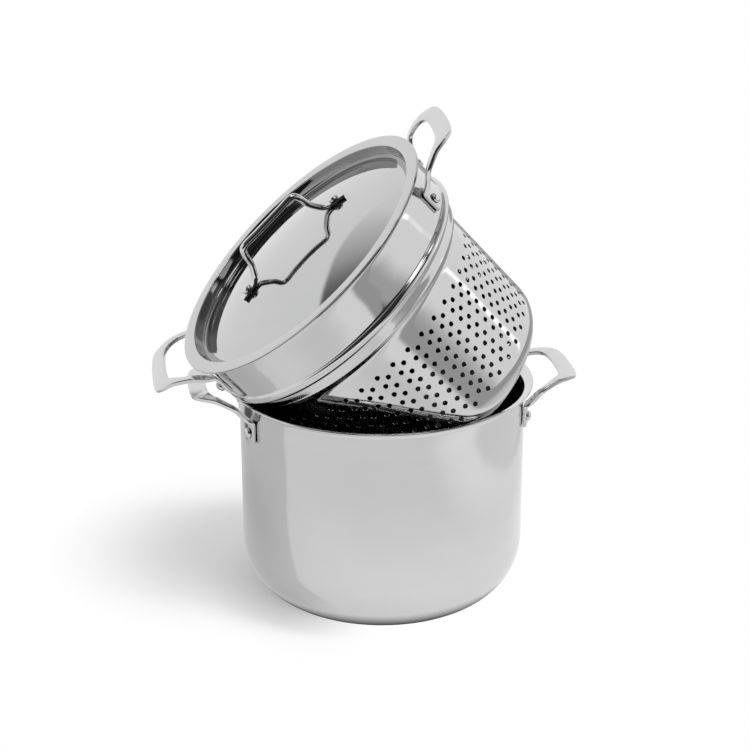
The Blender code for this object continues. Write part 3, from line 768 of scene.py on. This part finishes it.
# The outside above the holes: under the lip, down the collar, over the bead,
# down the band, in over the step and on to the basket's wall.
lip_reach, lip_height = INSERT_LIP
lip_centre = (INSERT_COLLAR + lip_reach, -lip_height)
bead_top = -COLLAR_HEIGHT
bead_low = bead_top - BEAD_HEIGHT
band_low = bead_low - BAND_HEIGHT
step_radius = BAND - BAND_TAPER
lip_under = arc(lip_centre, (lip_reach, lip_height - INSERT_WALL), 90, 180, 8)
outer_top = lip_under + [(INSERT_COLLAR, -0.012), (INSERT_COLLAR, -0.026),
                         (INSERT_COLLAR, bead_top + 0.0012),
                         (INSERT_COLLAR + 0.0001, bead_top + 0.0004),
                         (INSERT_COLLAR + 0.0005, bead_top - 0.0003)]
outer_top += arc((INSERT_COLLAR + BEAD_REACH - BEAD_ROUND[0], bead_top - 0.0042), BEAD_ROUND,
                 62, -52, 8)
outer_top += [(BAND + 0.0022, bead_low + 0.0010), (BAND + 0.0008, bead_low - 0.0001),
              (BAND + 0.0001, bead_low - 0.0012), (BAND, bead_low - 0.0022),
              (BAND - BAND_TAPER * 0.5, bead_low - BAND_HEIGHT * 0.55),
              (BAND - BAND_TAPER * 0.9, band_low + 0.0016)]
outer_top += arc((step_radius - STEP_ROUND, band_low + 0.0004), (STEP_ROUND, STEP_ROUND),
                 10, -60, 6)
outer_top += [(0.45 * step_radius + 0.55 * BASKET_RADIUS, band_low - 0.0026),
              (BASKET_RADIUS + 0.0008, shoulder + 0.0012),
              (BASKET_RADIUS + 0.0001, shoulder - 0.0006),
              (basket_radius(shoulder - 0.004), shoulder - 0.004),
              (basket_radius(zone_top), zone_top)]
inner_top = offset(outer_top, INSERT_WALL)
inner_top[-1] = (outer_top[-1][0] - INSERT_WALL, zone_top)
lip_over = arc(lip_centre, (lip_reach + INSERT_WALL, lip_height), 180, 90, 8)
lip_edge = arc((INSERT_COLLAR + lip_reach, -INSERT_WALL / 2), (INSERT_WALL / 2,) * 2, 80, -80, 4)

# The round corner below the holes.
corner_height = min(BASKET_CORNER, zone_low - basket_base - 0.0004)
outer_low = [(basket_radius(zone_low), zone_low)]
outer_low += arc((base_rim, basket_base + corner_height), (BASKET_CORNER, corner_height),
                 -4, -90, 14)
inner_low = offset(outer_low, INSERT_WALL)
inner_low[0] = (outer_low[0][0] - INSERT_WALL, zone_low)
inner_low[-1] = (outer_low[-1][0], basket_base + INSERT_WALL)

plain = bmesh.new()
total = len(columns)


def sweep(profile):
    """Turns an open outline on the columns, into the plain parts."""
    rings = [[plain.verts.new((r * math.cos(a), r * math.sin(a), z)) for a in columns]
             for r, z in profile]
    for here, there in zip(rings[:-1], rings[1:]):
        for i in range(total):
            j = (i + 1) % total
            plain.faces.new((here[i], there[i], there[j], here[j]))


# Up the inside of the wall, over the lip, round its edge and down the outside.
sweep(inner_top[:len(lip_under) - 1:-1] + lip_over + lip_edge + outer_top)
sweep(outer_low)
sweep(inner_low[::-1])


def filler(first_column, top, low):
    """Plain half cells beside the first or last hole of a column."""
    levels = [top - (top - low) * k / 2 for k in range(3)]
    for pair in range(HOLE_PAIRS):
        start = pair * 2 * CELL_STEPS + first_column
        for k in range(CELL_STEPS):
            near = columns[(start + k) % total]
            far = columns[(start + k + 1) % total]
            for up, down in zip(levels[:-1], levels[1:]):
                for inward in (0.0, INSERT_WALL):
                    corners = []
                    for angle, height in ((near, up), (near, down), (far, down), (far, up)):
                        radius = basket_radius(height) - inward
                        corners.append(plain.verts.new((radius * math.cos(angle),
                                                        radius * math.sin(angle), height)))
                    face = plain.faces.new(corners)
                    if inward:
                        face.normal_flip()


filler(CELL_STEPS, zone_top, zone_top - HOLE_PITCH / 2)
filler(0, zone_low + HOLE_PITCH / 2, zone_low)

# The base is a flat perforated disc, cut from a thin plate. A ring by its rim
# keeps the rounding of the corner's shading out of the flat.
base_radii = [base_rim, base_rim - BASE_BORDER, 0.0]
disc = turned([(radius, basket_base) for radius in base_radii]
              + [(radius, basket_base + INSERT_WALL) for radius in base_radii[::-1]], columns)
disc_item = finish_mesh("basket_disc", disc)
punch = bmesh.new()
spots = [(0.0, 0.0)]
for ring in range(1, BASE_RINGS + 1):
    for k in range(6 * ring):
        a = 2 * math.pi * (k + 0.5) / (6 * ring)
        spots.append((ring * BASE_PITCH * math.cos(a), ring * BASE_PITCH * math.sin(a)))
for x, y in spots:
    bmesh.ops.create_cone(punch, cap_ends=True, segments=16, radius1=HOLE_RADIUS,
                          radius2=HOLE_RADIUS, depth=0.01,
                          matrix=Matrix.Translation((x, y, basket_base)))
punch_item = finish_mesh("basket_punch", punch)
cutting = disc_item.modifiers.new("holes", "BOOLEAN")
cutting.operation = "DIFFERENCE"
cutting.solver = "EXACT"
cutting.object = punch_item
disc_mesh = shaped_mesh(disc_item)
bpy.data.objects.remove(disc_item)
bpy.data.objects.remove(punch_item)

# The disc's outer edge face would be a wall inside the sheet, so it goes.
cut_disc = bmesh.new()
cut_disc.from_mesh(disc_mesh)
rim_wall = [face for face in cut_disc.faces
            if all(v.co.xy.length > base_rim - 0.0001 for v in face.verts)]
bmesh.ops.delete(cut_disc, geom=rim_wall, context="FACES")
cut_disc.to_mesh(disc_mesh)
cut_disc.free()

plain.from_mesh(wall_item.data)
plain.from_mesh(disc_mesh)
bpy.data.objects.remove(wall_item)
bmesh.ops.remove_doubles(plain, verts=plain.verts, dist=WELD)
insert_body = finish_mesh("insert_basket", plain, insert_place, 38.0)
insert_body.data.materials.append(insert_steel)
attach(insert_body, "insert")
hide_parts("insert_body")


# Lid. Spun stainless sheet: a flat flange that lies on the insert's lip, a
# sunk plug that centres it, and a low dome, polished almost to a mirror.

LID_WALL = 0.0010
LID_EDGE = INSERT_COLLAR + INSERT_LIP[0] + 0.0006
LID_FLANGE_WIDTH = 0.0116
LID_PLUG_DEPTH = 0.0085
LID_PLUG_TAPER = 0.0010
LID_FILLET_WIDTH = 0.0072
LID_FILLET_DEPTH = 0.0020
LID_DOME_RISE = 0.0195
LID_DOME_RINGS = 24
LID_MOUTH_ROUND = 0.0013
LID_SIDES = 256
# How much painted shade darkens the sunk ring between the dome and the flange.
LID_RECESS_PAINTED_SHADE = 0.50

lid_place = insert_place @ Matrix.Translation((0, 0, LID_WALL + CLEAR))
mouth = LID_EDGE - LID_FLANGE_WIDTH
plug = mouth - LID_PLUG_TAPER
panel_rim = plug - LID_FILLET_WIDTH
panel_low = -LID_PLUG_DEPTH - LID_FILLET_DEPTH
dome_radius = (panel_rim ** 2 + LID_DOME_RISE ** 2) / (2 * LID_DOME_RISE)


def dome_height(radius):
    """Height of the dome's upper face over the flange's."""
    return panel_low + LID_DOME_RISE - dome_radius + math.sqrt(dome_radius ** 2 - radius ** 2)


# The upper face from the edge in: flange, mouth, plug, fillet and dome. The
# underside is the same outline a sheet's thickness lower, without the edge.
lid_edge = arc((LID_EDGE - LID_WALL / 2, -LID_WALL / 2), (LID_WALL / 2,) * 2, -80, 90, 6)
lid_top = [(LID_EDGE - 0.004, 0.0), (mouth + 0.0016, 0.0)]
lid_top += arc((mouth + LID_MOUTH_ROUND, -LID_MOUTH_ROUND), (LID_MOUTH_ROUND, LID_MOUTH_ROUND),
               100, 180, 6)
lid_top += [(mouth - 0.0004, -0.0040), (plug, -LID_PLUG_DEPTH + 0.0006),
            (plug - 0.0003, -LID_PLUG_DEPTH)]
lid_top += arc((panel_rim + 0.0034, panel_low + 0.0024), (0.0031, 0.0022), -15, -90, 6)
lid_top += [(panel_rim + 0.0008, panel_low + 0.0001)]
dome_radii = [panel_rim - 0.0020]
dome_radii += [panel_rim * (1 - k / LID_DOME_RINGS) for k in range(1, LID_DOME_RINGS + 1)]
lid_top += [(radius, dome_height(radius)) for radius in dome_radii]
lid_under = [(LID_EDGE - 0.0006, -LID_WALL)] + offset(lid_top[:-1], -LID_WALL)[1:]
lid_under += [(0.0, lid_top[-1][1] - LID_WALL)]
lid_profile = lid_under + (lid_edge + lid_top)[::-1]
# The recess round the dome is darkened by painted shade.
lid_painted_shade_recess = (panel_rim + 0.0004, mouth + 0.0003, LID_RECESS_PAINTED_SHADE)
lid_steel = turned_steel("lid_steel_look", lid_place, shade=(0.555, 0.555, 0.56),
                         roughness=0.05, streaks=1500.0, relief=0.03, wave=0.0004,
                         shaded_recess=lid_painted_shade_recess)
lid = finish_mesh("lid_dome", turned(lid_profile, even_angles(LID_SIDES)), lid_place)
lid.data.materials.append(lid_steel)
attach(lid, "lid")
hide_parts("lid_panel")


# Lid handle. Bent stainless rod whose ends are pressed flat for one rivet
# each, polished bright.

LID_SPIN = math.radians(13.2)
ROD_RADIUS = 0.00275
ROD_FOOT_WIDTH = 0.0085
ROD_FOOT_THICKNESS = 0.0030
ROD_GRIP_HALF = 0.0315
ROD_GRIP_HEIGHT = 0.0315
ROD_BEND_REACH = 0.0400
ROD_FOOT_END = 0.0590
LID_RIVET_REACH = 0.0510
ROD_SIDES = 20
ROD_SQUARENESS = 0.55

slope = Vector((LID_RIVET_REACH, 0, math.sqrt(dome_radius ** 2 - LID_RIVET_REACH ** 2)))
slope.normalize()
foot_lift = ROD_FOOT_THICKNESS * 0.5 + CLEAR


def on_dome(reach, lift):
    """A point at a reach from the lid's axis, a lift off the dome."""
    return Vector((reach, 0, dome_height(reach) + lift / slope.z))


# Along the rod: its middle line, how far it is pressed flat (1 is a foot, 0
# the round rod) and how much broader than the rod it is.
grip_height = dome_height(LID_RIVET_REACH) + ROD_GRIP_HEIGHT
bend_height = dome_height(ROD_BEND_REACH) + ROD_RADIUS + CLEAR
stations = [
    (on_dome(ROD_FOOT_END, foot_lift), 1.0, 1.0),
    (on_dome(LID_RIVET_REACH, foot_lift), 1.0, 1.0),
    (on_dome(ROD_BEND_REACH + 0.0052, foot_lift + 0.0001), 1.0, 1.0),
    (on_dome(ROD_BEND_REACH + 0.0015, foot_lift + 0.0010), 0.4, 1.0),
    (Vector((ROD_BEND_REACH - 0.0015, 0, bend_height + 0.0030)), 0.0, 1.0),
    (Vector((ROD_GRIP_HALF + 0.0022, 0, 0.55 * bend_height + 0.45 * grip_height)), 0.0, 1.0),
    (Vector((ROD_GRIP_HALF, 0, grip_height - 0.0045)), 0.0, 1.15),
    (Vector((ROD_GRIP_HALF - 0.0045, 0, grip_height)), 0.0, 1.35),
    (Vector((ROD_GRIP_HALF * 0.4, 0, grip_height)), 0.0, 1.35),
]
stations += [(Vector((-point.x, 0, point.z)), flat, broad)
             for point, flat, broad in stations[::-1]]
path = smooth_path([point for point, flat, broad in stations])
side = Vector((0, 1, 0))
rings = []
for i, point in enumerate(path):
    along = (path[min(i + 1, len(path) - 1)] - path[max(i - 1, 0)]).normalized()
    up = along.cross(side).normalized()
    station = min(i // CURVE_STEPS, len(stations) - 2)
    past = i / CURVE_STEPS - station
    flat, broad = [here + (there - here) * past
                   for here, there in zip(stations[station][1:], stations[station + 1][1:])]
    half_width = (ROD_RADIUS + flat * (0.5 * ROD_FOOT_WIDTH - ROD_RADIUS)) * broad
    half_thickness = ROD_RADIUS + flat * (0.5 * ROD_FOOT_THICKNESS - ROD_RADIUS)
    power = 1.0 - ROD_SQUARENESS * flat
    ring = []
    for angle in even_angles(ROD_SIDES):
        sine, cosine = math.sin(angle), math.cos(angle)
        ring.append(point + side * half_width * math.copysign(abs(cosine) ** power, cosine)
                    + up * half_thickness * math.copysign(abs(sine) ** power, sine))
    rings.append(ring)
spin = Matrix.Rotation(LID_SPIN, 4, "Z")
rod = finish_mesh("lid_rod", skinned(rings), lid_place @ spin, 40.0)
rod_steel = cast_steel("rod_steel_look", shade=(0.62, 0.62, 0.625), roughness=0.07)
rod.data.materials.append(rod_steel)
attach(rod, "lid")
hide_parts("lid_handle")

places = []
for sign in (1, -1):
    face = on_dome(LID_RIVET_REACH, 2 * foot_lift)
    point = lid_place @ spin @ Vector((sign * face.x, 0, face.z))
    outward = (lid_place @ spin).to_3x3() @ Vector((sign * slope.x, 0, slope.z))
    places.append((point, outward))
group = rivets("lid_rivets", places, 2 * foot_lift + LID_WALL, rivet_steel)
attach(group, "lid")
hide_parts("lid_rivet_a", "lid_rivet_b")


# Studio. White floor that keeps the pot's shadow, a soft key from the right,
# and the camera at the photograph's angle, a long lens from slightly above.

CAMERA_TURN = math.radians(-7.0)
CAMERA_TILT = math.radians(20.81)
CAMERA_ROLL = -0.0028
CAMERA_AIM = Vector((-0.0058, 0.0, 0.1924))
CAMERA_REACH = 1.6
CAMERA_LENS = 90.24
CAMERA_SENSOR = 36.0
ROOM_LEVEL = 0.70
KEY_FROM = (0.58, -0.24, 0.80)
KEY_POWER = 1.60
KEY_SIZE = math.radians(18.0)
studio = Matrix.Rotation(CAMERA_TURN, 4, "Z")


def aligned(finish, vector):
    """Right, away and up parts of a vector, as the camera stands."""
    return [finish.node("VectorMath", {"operation": "DOT_PRODUCT"},
                        {0: vector, 1: tuple(studio.col[k][:3])}, "Value") for k in range(3)]


def ray_kinds(finish, *kinds):
    """One socket for each kind of ray, 1 on such a ray and else 0."""
    outputs = finish.node("LightPath", {}, {}).socket.node.outputs
    return [Wire(finish, outputs[f"Is {kind} Ray"]) for kind in kinds]


# The floor. To the eye it is white but for the pot's soft shadow, round a spot
# at the left, and a darker touch close to the pot's left half.
SHADOW_SPOT = (-0.12, 0.07)
SHADOW_REACH = (0.04, 0.20)
CONTACT_REACH = (0.10, 0.17)
CONTACT_SIDE = (-0.11, 0.0)

# The steel mirrors a floor of less even light: its paper ends at a slanting
# line to the right and it is greyer in the middle distance. Painted shade makes
# it greyer on the left and in the shadow, and nearly black at one spot beyond
# the left handle and under the pot.
PAPER_SLANT = 0.38
PAPER_EDGE = (0.38, 0.405)
PAPER_SOFTENS = (0.7, 1.0)
PAPER_SOFTNESS = 0.09
OFF_PAPER_REACH = (0.4, 1.1)
PAINTED_SHADE_SPOT = (-0.42, 0.29)
PAINTED_SHADE_SPOT_SQUARES = (0.004, 0.012)
UNDER_POT_PAINTED_SHADE_REACH = (0.090, 0.122)

floor_build = bmesh.new()
bmesh.ops.create_grid(floor_build, x_segments=1, y_segments=1, size=6.0)
floor = finish_mesh("studio_floor", floor_build, Matrix.Translation((0, 0, -0.0001)))
floor_look = Finish("studio_floor_look")
floor_look.feed("Base Color", (0.9, 0.9, 0.9, 1.0))
floor_look.feed("Roughness", 1.0)
floor_look.feed("Specular IOR Level", 0.0)
direct, mirrored, through = ray_kinds(floor_look, "Camera", "Glossy", "Transmission")
across, away, up = aligned(floor_look, floor_look.node("TexCoord", {}, {}, "Object"))


def squared_reach(spot):
    """Square of the distance along the floor from a (right, away) spot."""
    right, ahead = across - spot[0], away - spot[1]
    return right * right + ahead * ahead


reach = squared_reach((0.0, 0.0)).math("SQRT")
shadow_reach = squared_reach(SHADOW_SPOT).math("SQRT")
shadow = shadow_reach.ease(*SHADOW_REACH, 0.22, 1.0)
contact = reach.ease(*CONTACT_REACH, 0.6, 0.0) * across.ease(*CONTACT_SIDE, 1.0, 0.0)
glow = (direct * shadow * (1.0 - contact)
        + (mirrored + through).math("MINIMUM", 1.0) * 0.80)

soft = reach.ease(*PAPER_SOFTENS, 0.0, PAPER_SOFTNESS)
off_paper = (across + away * PAPER_SLANT).ease(PAPER_EDGE[0] - soft, PAPER_EDGE[1] + soft)
left_painted_shade = (across.ease(-0.10, -0.04, 1.0, 0.0) * away.ease(-0.126, -0.116)
             * reach.ease(0.7, 1.2, 1.0, 0.0))
middle_ground = (reach.ease(0.15, 0.45) * reach.ease(0.50, 0.80, 1.0, 0.0)
                 * across.ease(0.25, 0.40, 1.0, 0.0))
# Painted shade, seen only in the steel: greyer on the left and round the shadow's spot, black at
# one spot and under the pot.
paper_end_and_painted_shade = (reach.ease(*OFF_PAPER_REACH, 0.16, 0.55) * off_paper + left_painted_shade * 0.16
        + middle_ground * 0.17 + shadow_reach.ease(0.12, 0.34, 0.15, 0.0))
paper_end_and_painted_shade = paper_end_and_painted_shade.math("MAXIMUM", squared_reach(PAINTED_SHADE_SPOT).ease(*PAINTED_SHADE_SPOT_SQUARES, 0.90, 0.0))
paper_end_and_painted_shade = paper_end_and_painted_shade.math("MAXIMUM", reach.ease(*UNDER_POT_PAINTED_SHADE_REACH, 0.95, 0.0))

white = floor_look.node("Emission", {}, {"Color": (1.0, 1.0, 1.0, 1.0), "Strength": 1.0})
black = floor_look.node("Emission", {}, {"Color": (0.0, 0.0, 0.0, 1.0), "Strength": 0.0})
matt = Wire(floor_look, floor_look.shader.outputs[0])
lit = floor_look.node("MixShader", {}, {0: glow, 1: matt, 2: white})
darkened = floor_look.node("MixShader", {}, {0: mirrored * paper_end_and_painted_shade, 1: lit, 2: black})
floor_look.tree.links.new(darkened.socket, floor_look.tree.nodes["Material Output"].inputs[0])
floor.data.materials.append(floor_look.material)


class Sky(Finish):
    """The world's tree, with the same sockets as a material."""

    def __init__(self, name):
        self.world = bpy.data.worlds.new(name)
        self.world.use_nodes = True
        self.tree = self.world.node_tree
        self.shader = self.tree.nodes["Background"]
        self.shader.inputs["Color"].default_value = (1.0, 1.0, 1.0, 1.0)


# The room as the steel mirrors it, by azimuth from straight ahead, positive to
# the right, and by height, in degrees: a white backdrop, darkness behind the
# camera, which draws the black lines on the steel, and a grey ceiling above.
BACKDROP_LEFT = (-125.0, -100.0)
BACKDROP_DIM = (106.0, 126.0)
BACKDROP_RIGHT = (134.0, 143.0)
CEILING_EDGE = (34.5, 36.0)
CEILING_BACK = (95.0, 115.0)
CEILING_DIM = (48.0, 58.0)

# Its lamps: a narrow one at the right, a patch of light high up behind it, and
# one near the zenith, at both sides.
LAMP_LEFT = (74.3, 75.3)
LAMP_RIGHT = (78.9, 79.9)
LAMP_FOOT = (2.0, 14.0)
LAMP_TOP = (17.0, 20.0)
PATCH_LOW = (58.0, 60.0)
PATCH_TOP = (71.0, 73.0)
PATCH_SIDE = (118.0, 124.0)
ZENITH_LOW = (71.0, 74.0)
ZENITH_FRONT = (70.0, 80.0)
ZENITH_BACK = (100.0, 115.0)

sky = Sky("studio")
direct, mirrored = ray_kinds(sky, "Camera", "Glossy")
across, away, up = aligned(sky, sky.node("TexCoord", {}, {}, "Generated"))
turn = across.math("ARCTAN2", away) * (180 / math.pi)
rise = up.math("ARCSINE") * (180 / math.pi)
either_side = turn.math("ABSOLUTE")
backdrop = turn.ease(*BACKDROP_LEFT) * (turn.ease(*BACKDROP_DIM, 1.0, 0.5)
                                        * turn.ease(*BACKDROP_RIGHT, 1.0, 0.0))
low_part = 0.03 + backdrop * 0.97
greys = (turn.ease(-68.0, -44.0, 0.12, 0.62) + turn.ease(-48.0, -28.0, 0.0, 0.30)
         - turn.ease(-22.0, -6.0, 0.0, 0.50))
ceiling = either_side.ease(*CEILING_BACK, 1.0, 0.0) * greys * rise.ease(*CEILING_DIM, 1.0, 0.45)
high_part = ceiling + 0.04
edge_height = rise + turn.ease(-72.0, -54.0, 1.8, 0.0)
room = low_part + (high_part - low_part) * edge_height.ease(*CEILING_EDGE)
lamp = turn.ease(*LAMP_LEFT) * turn.ease(*LAMP_RIGHT, 1.0, 0.0) * rise.ease(*LAMP_FOOT)
patch = rise.ease(*PATCH_LOW) * rise.ease(*PATCH_TOP, 1.0, 0.0) * turn.ease(*PATCH_SIDE)
zenith = (rise.ease(*ZENITH_LOW) * either_side.ease(*ZENITH_FRONT)
          * turn.ease(*ZENITH_BACK, 1.0, 0.0))
room = room + lamp * rise.ease(*LAMP_TOP, 0.75, 0.12) + patch * 1.3 + zenith * 3.0
seen = mirrored * room + (1.0 - mirrored) * ROOM_LEVEL
sky.feed("Strength", direct + (1.0 - direct) * seen)
bpy.context.scene.world = sky.world

key_data = bpy.data.lights.new("key", "SUN")
key_data.energy = KEY_POWER
key_data.angle = KEY_SIZE
key = bpy.data.objects.new("key", key_data)
bpy.context.scene.collection.objects.link(key)
key.rotation_mode = "QUATERNION"
key.rotation_quaternion = (studio.to_3x3() @ Vector(KEY_FROM)).to_track_quat("Z", "Y")
key.visible_glossy = False

camera_data = bpy.data.cameras.new("camera")
camera_data.lens = CAMERA_LENS
camera_data.sensor_width = CAMERA_SENSOR
camera = bpy.data.objects.new("camera", camera_data)
bpy.context.scene.collection.objects.link(camera)
back = Vector((0.0, -math.cos(CAMERA_TILT), math.sin(CAMERA_TILT)))
camera.location = studio @ (CAMERA_AIM + back * CAMERA_REACH)
camera.rotation_mode = "QUATERNION"
camera.rotation_quaternion = ((studio.to_3x3() @ back).to_track_quat("Z", "Y")
                              @ Matrix.Rotation(CAMERA_ROLL, 3, "Z").to_quaternion())
bpy.context.scene.camera = camera
bpy.context.scene.view_settings.view_transform = "Standard"
